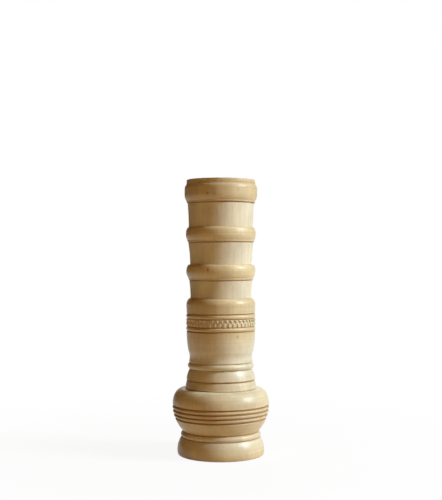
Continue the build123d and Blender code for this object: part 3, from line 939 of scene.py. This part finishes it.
class VASE_OT_carved_band(bpy.types.Operator):
    """Model the carved band with its two rows of teeth, and the fillet rings that frame it"""

    bl_idname = "vase.carved_band"
    bl_label = "Carved Band"

    def execute(self, context):
        lathe = context.scene.vase_lathe
        shade = context.scene.vase_shade
        band = context.scene.vase_band
        for node in ("upper_fillet_ring", "lower_fillet_ring"):
            add_turned(self.fillet(node, band, shade), node, lathe.coat)
        mesh = self.ground(band, shade)
        half_pitch = FULL_TURN / band.tooth_count / 2
        self.repeat(mesh, band, self.hanging_tooth(mesh, band), 0.0)
        self.repeat(mesh, band, self.upright_tooth(mesh, band), half_pitch)
        bmesh.ops.recalc_face_normals(mesh, faces=mesh.faces)
        pale_layer = mesh.verts.layers.float[PALE]
        for vert in mesh.verts:
            vert[pale_layer] = shade.band_pale
        waver(mesh, lathe.coat)
        add_piece(mesh, "toothed_band", "carved_band", lacquered_bamboo())
        return {"FINISHED"}

    def fillet(self, node, band, shade):
        """Draws a thin ring with burnt edges."""
        base = base_of(node)
        top = top_of(node)
        crown = reach_of(node)
        side = (band.fillet_edge + crown) / 2
        outline = Outline(band.fillet_edge, base, burn=shade.seam_burn)
        outline.line(side, base + band.fillet_lip, burn=shade.lip_burn)
        outline.arc(side, top - band.fillet_lip, crown - side, burn=shade.lip_burn)
        outline.line(band.fillet_edge, top, burn=shade.seam_burn)
        ring_inside(outline, node)
        return outline

    def ground(self, band, shade):
        """Burnt ring that the teeth stand on."""
        node = "carved_band"
        base = base_of(node)
        top = top_of(node)
        outline = Outline(band.ground, base, burn=shade.seam_burn)
        outline.line(band.ground, base + band.tooth_margin, burn=shade.band_lower_burn)
        outline.line(band.ground, base + band.ground_fade, burn=shade.band_ground_burn)
        outline.line(band.ground, top - band.ground_fade, burn=shade.band_ground_burn)
        outline.line(band.ground, top - band.tooth_margin, burn=shade.band_upper_burn)
        outline.line(band.ground, top, burn=shade.band_top_burn)
        ring_inside(outline, node)
        return outline.turned()

    def block(self, mesh, band, corners):
        """Raises a tooth from its corners, each a place across and a height, and rounds its face."""
        back = band.ground - band.tooth_root
        verts = [mesh.verts.new((back, across, height)) for across, height in corners]
        face = mesh.faces.new(verts)
        made = bmesh.ops.extrude_face_region(mesh, geom=[face], use_keep_orig=True)["geom"]
        front = [item for item in made if isinstance(item, bmesh.types.BMVert)]
        out = band.tooth_root + band.tooth_relief
        bmesh.ops.translate(mesh, verts=front, vec=(out, 0.0, 0.0))
        rim = [item for item in made if isinstance(item, bmesh.types.BMEdge)]
        bmesh.ops.bevel(
            mesh,
            geom=rim,
            offset=band.tooth_round,
            offset_type="OFFSET",
            affect="EDGES",
            segments=band.tooth_round_steps,
            profile=0.5,
            material=-1,
        )
        tooth = self.linked(verts)
        faces = list({face for vert in tooth for face in vert.link_faces})
        bmesh.ops.recalc_face_normals(mesh, faces=faces)
        front_face = max(faces, key=lambda item: item.calc_center_median().x)
        bmesh.ops.poke(mesh, faces=[front_face], offset=band.tooth_crown)
        return self.linked(verts)

    def linked(self, seeds):
        """All the corners of the block that the seeds belong to."""
        found = set(seeds)
        waiting = list(seeds)
        while waiting:
            vert = waiting.pop()
            for link in vert.link_edges:
                other = link.other_vert(vert)
                if other not in found:
                    found.add(other)
                    waiting.append(other)
        return list(found)

    def hanging_tooth(self, mesh, band):
        """Triangle that hangs point down from the band's upper edge."""
        top = top_of("carved_band") - band.tooth_margin
        half = band.upper_tooth_width / 2
        corners = ((-half, top), (0.0, top - band.upper_tooth_height), (half, top))
        return self.block(mesh, band, corners)

    def upright_tooth(self, mesh, band):
        """Upright tooth with a round head."""
        bottom = base_of("carved_band") + band.tooth_margin
        half = band.lower_tooth_width / 2
        neck = bottom + band.lower_tooth_height - half
        corners = [(-half, bottom), (half, bottom)]
        for step in range(band.lower_head_steps + 1):
            angle = math.pi * step / band.lower_head_steps
            corners.append((half * math.cos(angle), neck + half * math.sin(angle)))
        return self.block(mesh, band, corners)

    def repeat(self, mesh, band, tooth, start):
        """Turns a tooth to its start and repeats it all round the band."""
        pitch = FULL_TURN / band.tooth_count
        bmesh.ops.rotate(mesh, verts=tooth, cent=ORIGIN, matrix=Matrix.Rotation(start, 3, "Z"))
        edges = {edge for vert in tooth for edge in vert.link_edges}
        faces = {face for vert in tooth for face in vert.link_faces}
        bmesh.ops.spin(
            mesh,
            geom=[*tooth, *edges, *faces],
            cent=ORIGIN,
            axis=LATHE_AXIS,
            angle=FULL_TURN - pitch,
            steps=band.tooth_count - 1,
            use_duplicate=True,
        )


class VASE_OT_waist_sleeve(bpy.types.Operator):
    """Model the plain sleeve that narrows to the waist"""

    bl_idname = "vase.waist_sleeve"
    bl_label = "Waist Sleeve"

    def execute(self, context):
        node = "waist_sleeve"
        lathe = context.scene.vase_lathe
        shade = context.scene.vase_shade
        body = context.scene.vase_body
        base = base_of(node)
        top = top_of(node)
        upper = reach_of(node)
        outline = Outline(
            body.sleeve_bottom - body.sleeve_edge,
            base,
            # The sleeve's lower edge is painted brown: partly burn, partly painted shade of the crease
            burn=shade.sleeve_foot_burn_and_shade,
            pale=shade.sleeve_waist_pale,
            stain=shade.sleeve_stain,
        )
        outline.toe(body.sleeve_bottom, base + body.sleeve_edge)
        outline.arc(body.sleeve_turn, base + body.sleeve_turn_height, -body.sleeve_hollow)
        outline.pale = 0.0
        outline.upright_arc(upper, top - lathe.groove_lip, burn=shade.lip_burn)
        # Bottom of the sleeve's seam: burnt brown, darkened further as painted shade
        outline.line(upper - lathe.groove_depth, top, burn=shade.groove_burn_and_shade)
        joint_inside(outline, node)
        add_turned(outline, node, lathe.coat)
        return {"FINISHED"}


class VASE_OT_beads(bpy.types.Operator):
    """Model the half-round beads at the waist and above the foot"""

    bl_idname = "vase.beads"
    bl_label = "Beads"

    def execute(self, context):
        shade = context.scene.vase_shade
        body = context.scene.vase_body
        # The waist bead's upper edge takes the same brown: partly burn, partly painted shade
        self.bead("waist_bead", body.waist_bead_edge, shade.waist_bead_pale, shade.bead_burn_and_shade)
        self.bead("foot_bead", body.foot_bead_edge, shade.foot_bead_pale, shade.seam_burn)
        return {"FINISHED"}

    def bead(self, node, edge, pale, top_burn):
        """Half-round ring that slips over a spigot."""
        scene = bpy.context.scene
        # The bead's lower edge is painted brown: partly burn, partly painted shade of the crease
        outline = Outline(edge, base_of(node), burn=scene.vase_shade.bead_burn_and_shade, pale=pale)
        outline.arc(edge, top_of(node), reach_of(node) - edge, burn=top_burn)
        ring_inside(outline, node)
        add_turned(outline, node, scene.vase_lathe.coat)


class VASE_OT_flared_collar(bpy.types.Operator):
    """Model the collar that spreads down to the shoulder ring"""

    bl_idname = "vase.flared_collar"
    bl_label = "Flared Collar"

    def execute(self, context):
        node = "flared_collar"
        shade = context.scene.vase_shade
        body = context.scene.vase_body
        base = base_of(node)
        bow = body.collar_middle - (body.collar_bottom + body.collar_top) / 2
        outline = Outline(
            body.collar_bottom - body.seam_depth, base, burn=shade.seam_burn, pale=shade.collar_pale
        )
        outline.line(body.collar_bottom, base + body.collar_lip, burn=shade.collar_lip_burn)
        # The collar's upper end is painted faintly brown as shade of the crease above it
        outline.arc(body.collar_top, top_of(node), bow, burn=shade.crown_burn_and_shade)
        joint_inside(outline, node)
        add_turned(outline, node, context.scene.vase_lathe.coat)
        return {"FINISHED"}


class VASE_OT_shoulder_ring(bpy.types.Operator):
    """Model the short ring on top of the bulb"""

    bl_idname = "vase.shoulder_ring"
    bl_label = "Shoulder Ring"

    def execute(self, context):
        node = "shoulder_ring"
        lathe = context.scene.vase_lathe
        shade = context.scene.vase_shade
        body = context.scene.vase_body
        base = base_of(node)
        top = top_of(node)
        bottom = reach_of(node)
        bow = body.ring_middle - (bottom + body.ring_top) / 2
        outline = Outline(
            # The ring's lower edge is painted brown: partly burn, partly painted shadow of the ring on the
            # bulb
            bottom - body.ring_crease, base, burn=shade.ring_foot_burn_and_shade, pale=shade.ring_pale
        )
        outline.line(bottom, base + body.ring_crease, burn=shade.ring_crease_burn)
        outline.arc(body.ring_top, top - lathe.groove_lip, bow, burn=shade.ring_lip_burn)
        outline.line(body.ring_top - body.seam_depth, top, burn=shade.seam_burn)
        ring_inside(outline, node)
        add_turned(outline, node, lathe.coat)
        return {"FINISHED"}


class VASE_OT_bulb(bpy.types.Operator):
    """Model the wide bulb with its burnt grooves"""

    bl_idname = "vase.bulb"
    bl_label = "Bulb"

    def execute(self, context):
        node = "bulb"
        shade = context.scene.vase_shade
        body = context.scene.vase_body
        base = base_of(node)
        equator = reach_of(node)
        equator_height = base + body.bulb_equator_height
        outline = Outline(body.bulb_base, base, burn=shade.seam_burn, pale=shade.bulb_belly_pale)
        # The bulb's lower edge is painted brown: partly burn, partly painted shade of the crease over the
        # foot bead
        outline.line(body.bulb_base, base + body.bulb_heel, burn=shade.bulb_heel_burn_and_shade)
        self.grooved_belly(outline, body, shade, equator, equator_height)
        outline.line(equator, equator_height + body.groove_half_width)
        # The bulb's top is painted paler: partly its own tone, partly painted light on its level top
        outline.pale = shade.bulb_crest_pale_painted_light
        # The bulb's crest is painted brown: painted shadow of the ring above, with a little burn
        outline.shoulder(body.bulb_crest, top_of(node), burn=shade.bulb_crest_burn_and_shade)
        joint_inside(outline, node)
        add_turned(outline, node)
        return {"FINISHED"}

    def grooved_belly(self, outline, body, shade, equator, equator_height):
        """Draws the round belly from the bottom up, with its grooves and the ridges between them."""
        draw = equator - body.bulb_base
        swing = (draw**2 + body.bulb_equator_height**2) / (2 * draw)

        def belly(drop):
            """Radius of the belly at a distance below the equator."""
            return equator - swing + math.sqrt(swing**2 - drop**2)

        bottom_drop = body.bulb_equator_height
        for groove in reversed(range(body.groove_count)):
            drop = body.groove_drop + groove * body.groove_pitch
            lip_drop = drop + body.groove_half_width
            stretch = math.hypot(bottom_drop - lip_drop, belly(bottom_drop) - belly(lip_drop))
            bow = swing - math.sqrt(swing**2 - stretch**2 / 4)
            if groove < body.groove_count - 1:
                bow += body.ridge_bow
            outline.arc(belly(lip_drop), equator_height - lip_drop, bow, burn=shade.lip_burn)
            floor = belly(drop) - body.groove_depth
            # Groove bottom: burnt brown, darkened further as painted shade in the groove
            outline.line(floor, equator_height - drop, burn=shade.groove_burn_and_shade)
            bottom_drop = drop - body.groove_half_width
            outline.line(belly(bottom_drop), equator_height - bottom_drop, burn=shade.lip_burn)


class VASE_OT_foot(bpy.types.Operator):
    """Model the spreading foot, and the plug that closes the bore inside it"""

    bl_idname = "vase.foot"
    bl_label = "Foot and Plug"

    def execute(self, context):
        node = "foot"
        shade = context.scene.vase_shade
        body = context.scene.vase_body
        recess_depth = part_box("floor_plug")[0].z
        hole = SEAT - body.ledge_width
        top = top_of(node)
        outline = Outline(body.foot_bottom, 0.0, burn=shade.foot_sole_burn)
        outline.toe(reach_of(node), body.foot_bulge_height, burn=shade.foot_bulge_burn)
        outline.pale = shade.foot_top_pale
        outline.upright_arc(body.foot_top, top, burn=shade.foot_top_burn)
        outline.line(SOCKET, top)
        outline.line(SOCKET, body.ledge_height)
        outline.line(hole, body.ledge_height)
        outline.line(hole, recess_depth)
        outline.line(body.recess_radius, recess_depth)
        outline.line(body.recess_radius, 0.0)
        add_turned(outline, node)
        self.plug(body, recess_depth, hole - GLUE_GAP)
        return {"FINISHED"}

    def plug(self, body, bottom, shank):
        """Stepped disc on the foot's ledge."""
        node = "floor_plug"
        top = top_of(node)
        outline = Outline(0.0, bottom)
        outline.line(shank - body.plug_edge, bottom)
        outline.line(shank, bottom + body.plug_edge)
        outline.line(shank, body.ledge_height)
        outline.line(SEAT, body.ledge_height)
        outline.line(SEAT, top)
        outline.line(0.0, top)
        mesh = outline.turned(closed=False)
        add_piece(mesh, "board_" + node, node, raw_bamboo())


class VASE_OT_stage(bpy.types.Operator):
    """Set the floor, the lamps, the room's light and the camera"""

    bl_idname = "vase.stage"
    bl_label = "Stage"

    def execute(self, context):
        studio = context.scene.vase_studio
        context.scene.view_settings.view_transform = "Standard"
        self.floor(context.scene, studio)
        self.room(context.scene, studio)
        for name in ("key", "high", "front", "back"):
            self.lamp(context.scene, studio, name)
        self.camera(context.scene, studio)
        return {"FINISHED"}

    def lamp(self, scene, studio, name):
        """Soft lamp at a bearing to the right of the camera and a rise above level."""
        bearing = getattr(studio, name + "_bearing")
        rise = getattr(studio, name + "_rise")
        data = bpy.data.lights.new(name + " lamp", "AREA")
        data.shape = "SQUARE"
        data.size = studio.panel
        data.color = getattr(studio, name + "_colour")
        # A panel of this power lights a white card at this distance to its level
        data.energy = getattr(studio, name + "_level") * (math.pi * studio.lamp_distance) ** 2
        out = math.cos(rise)
        away = Vector((math.sin(bearing) * out, -math.cos(bearing) * out, math.sin(rise)))
        lamp = bpy.data.objects.new(name + " lamp", data)
        lamp.location = Vector((0.0, 0.0, HEIGHT / 2)) + away * studio.lamp_distance
        lamp.rotation_mode = "QUATERNION"
        lamp.rotation_quaternion = away.to_track_quat("Z", "Y")
        scene.collection.objects.link(lamp)

    def floor(self, scene, studio):
        """Pale round floor, which fades into the white of the background."""
        name = "studio_floor"
        mesh = bmesh.new()
        bmesh.ops.create_circle(
            mesh, cap_ends=True, radius=studio.floor_radius, segments=studio.floor_sides
        )
        bmesh.ops.translate(mesh, verts=mesh.verts, vec=(0.0, 0.0, -studio.floor_gap))
        data = bpy.data.meshes.new(name)
        mesh.to_mesh(data)
        mesh.free()
        data.materials.append(self.floor_finish(studio))
        floor = bpy.data.objects.new(name, data)
        scene.collection.objects.link(floor)

    def floor_finish(self, studio):
        """Floor that keeps a shadow for the eye, and sends warm light up to the vase."""
        material = bpy.data.materials.new("studio floor")
        recipe = Recipe(material)
        pale = recipe.shade(
            {
                "Base Color": opaque(studio.floor),
                "Roughness": studio.floor_roughness,
                "Specular IOR Level": 0.0,
            }
        )
        bounce = recipe.node("ShaderNodeBsdfDiffuse", {"Color": opaque(studio.floor_bounce)})
        white = recipe.node("ShaderNodeEmission", {"Color": WHITE, "Strength": 1.0})
        away = recipe.node("ShaderNodeVectorMath", {0: recipe.place()}, operation="LENGTH").outputs["Value"]
        veil = recipe.between(away, studio.veil_start, studio.veil_end, studio.floor_veil, 1.0)
        veiled = recipe.mixed_shader(veil, pale, white)
        recipe.show(recipe.mixed_shader(recipe.seen(), bounce, veiled), "Material Output")
        return material

    def room(self, scene, studio):
        """Warm light from all round, with a white background for the eye."""
        scene.world = bpy.data.worlds.new("studio room")
        recipe = Recipe(scene.world)
        warm = recipe.tree.nodes["Background"]
        recipe.fill(warm, {"Color": opaque(studio.room), "Strength": 1.0})
        white = recipe.node("ShaderNodeBackground", {"Color": WHITE, "Strength": 1.0})
        way = recipe.node("ShaderNodeTexCoord").outputs["Generated"]
        backwards = recipe.node("ShaderNodeSeparateXYZ", {0: way}).outputs["Y"]
        edge = math.cos(studio.backdrop_edge)
        backdrop = recipe.between(backwards, edge, math.cos(studio.backdrop_full))
        recipe.show(recipe.mixed_shader(recipe.seen(backdrop), warm, white), "World Output")

    def camera(self, scene, studio):
        """Camera at eye height, tipped so that eye level falls on its row of the picture."""
        data = bpy.data.cameras.new("studio camera")
        data.lens = studio.focal_pixels / studio.picture_height * data.sensor_width
        camera = bpy.data.objects.new("studio camera", data)
        camera.location = (studio.eye_side, -studio.distance, studio.eye_height)
        tip = math.atan(studio.eye_row / studio.focal_pixels)
        camera.rotation_euler = (QUARTER_TURN + tip, 0.0, 0.0)
        scene.collection.objects.link(camera)
        scene.camera = camera


OPERATORS = (
    VASE_OT_rim_collar,
    VASE_OT_culm_sections,
    VASE_OT_node_rings,
    VASE_OT_band_shoulder,
    VASE_OT_carved_band,
    VASE_OT_waist_sleeve,
    VASE_OT_beads,
    VASE_OT_flared_collar,
    VASE_OT_shoulder_ring,
    VASE_OT_bulb,
    VASE_OT_foot,
    VASE_OT_stage,
)


class VASE_PT_workshop(bpy.types.Panel):
    """Lists the pieces of the vase in the order of making"""

    bl_idname = "VASE_PT_workshop"
    bl_label = "Turned Bamboo Vase"
    bl_space_type = "VIEW_3D"
    bl_region_type = "UI"
    bl_category = "Vase"

    def draw(self, context):
        for operator in OPERATORS:
            self.layout.operator(operator.bl_idname)


SETTINGS = {
    "vase_lathe": VaseLathe,
    "vase_neck": VaseNeck,
    "vase_band": VaseBand,
    "vase_body": VaseBody,
    "vase_shade": VaseShade,
    "vase_finish": VaseFinish,
    "vase_studio": VaseStudio,
}
CLASSES = (*SETTINGS.values(), *OPERATORS, VASE_PT_workshop)


def register():
    """Adds the settings, the operators and the panel."""
    for item in CLASSES:
        bpy.utils.register_class(item)
    for name, group in SETTINGS.items():
        setattr(bpy.types.Scene, name, PointerProperty(type=group))


def unregister():
    """Takes them away again."""
    for name in SETTINGS:
        delattr(bpy.types.Scene, name)
    for item in reversed(CLASSES):
        bpy.utils.unregister_class(item)


def main():
    """Makes every piece and the stage."""
    register()
    for operator in OPERATORS:
        family, name = operator.bl_idname.split(".")
        getattr(getattr(bpy.ops, family), name)()


if __name__ == "__main__":
    main()
